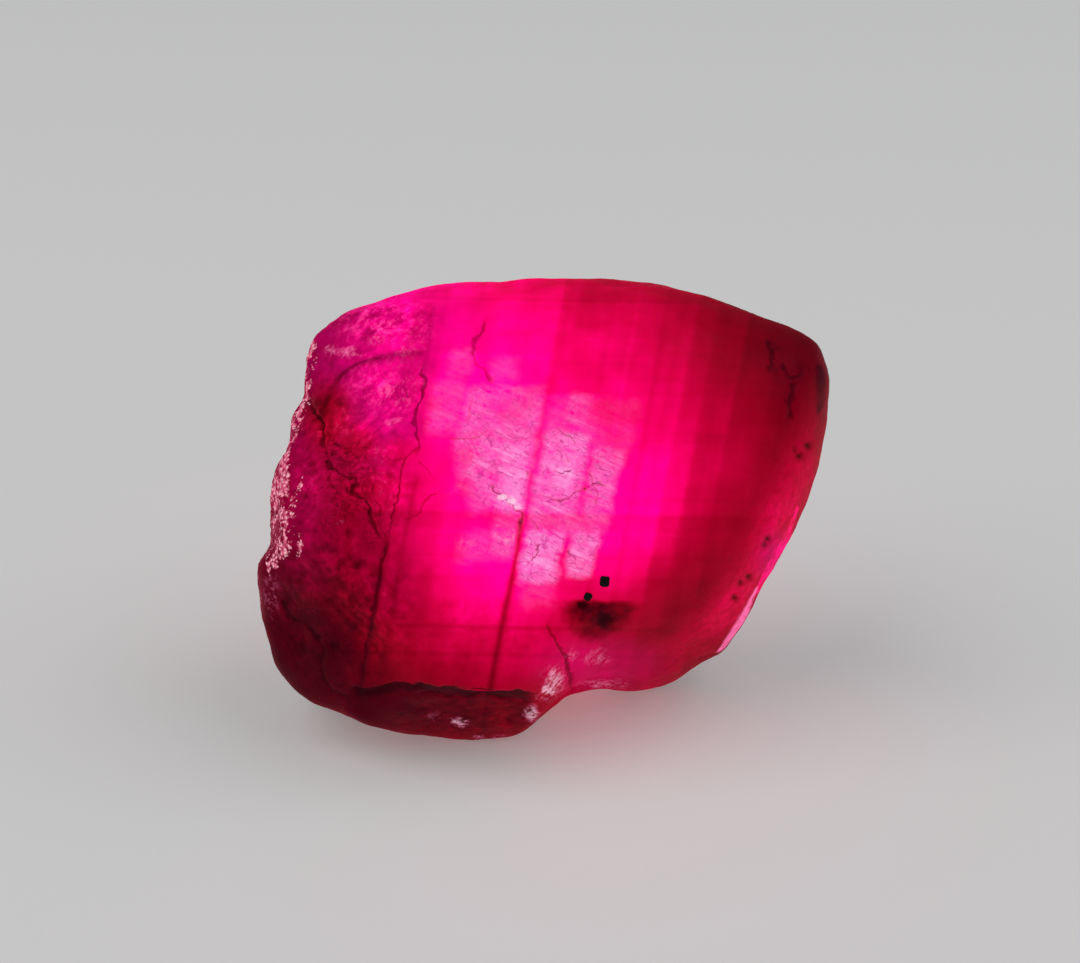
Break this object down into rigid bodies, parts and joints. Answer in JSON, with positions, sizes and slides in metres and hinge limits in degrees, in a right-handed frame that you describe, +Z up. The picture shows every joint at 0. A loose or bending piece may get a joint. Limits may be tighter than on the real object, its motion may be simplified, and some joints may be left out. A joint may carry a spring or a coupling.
{
  "type": "raw ruby crystal",
  "caption": "Raw ruby crystal: a loose, partly water-worn lump of red corundum with a broad face, stepped parting breaks down one side and a flat to rest on.",
  "frame": {"origin": "middle of the stone's box, at the ground it rests on", "axes": "+Z up, +X along the stone's width, -Y out of the side of the broad face"},
  "size_m": [0.038, 0.0246, 0.0284],
  "materials": {
    "ruby": "translucent rough corundum, waxy on the worn face and frosted where it is broken",
    "black_mineral": "tiny black mineral grains with a dull metallic shine"
  },
  "bodies": {
    "root": {"ruby_crystal": "ruby"}
  },
  "joints": []
}
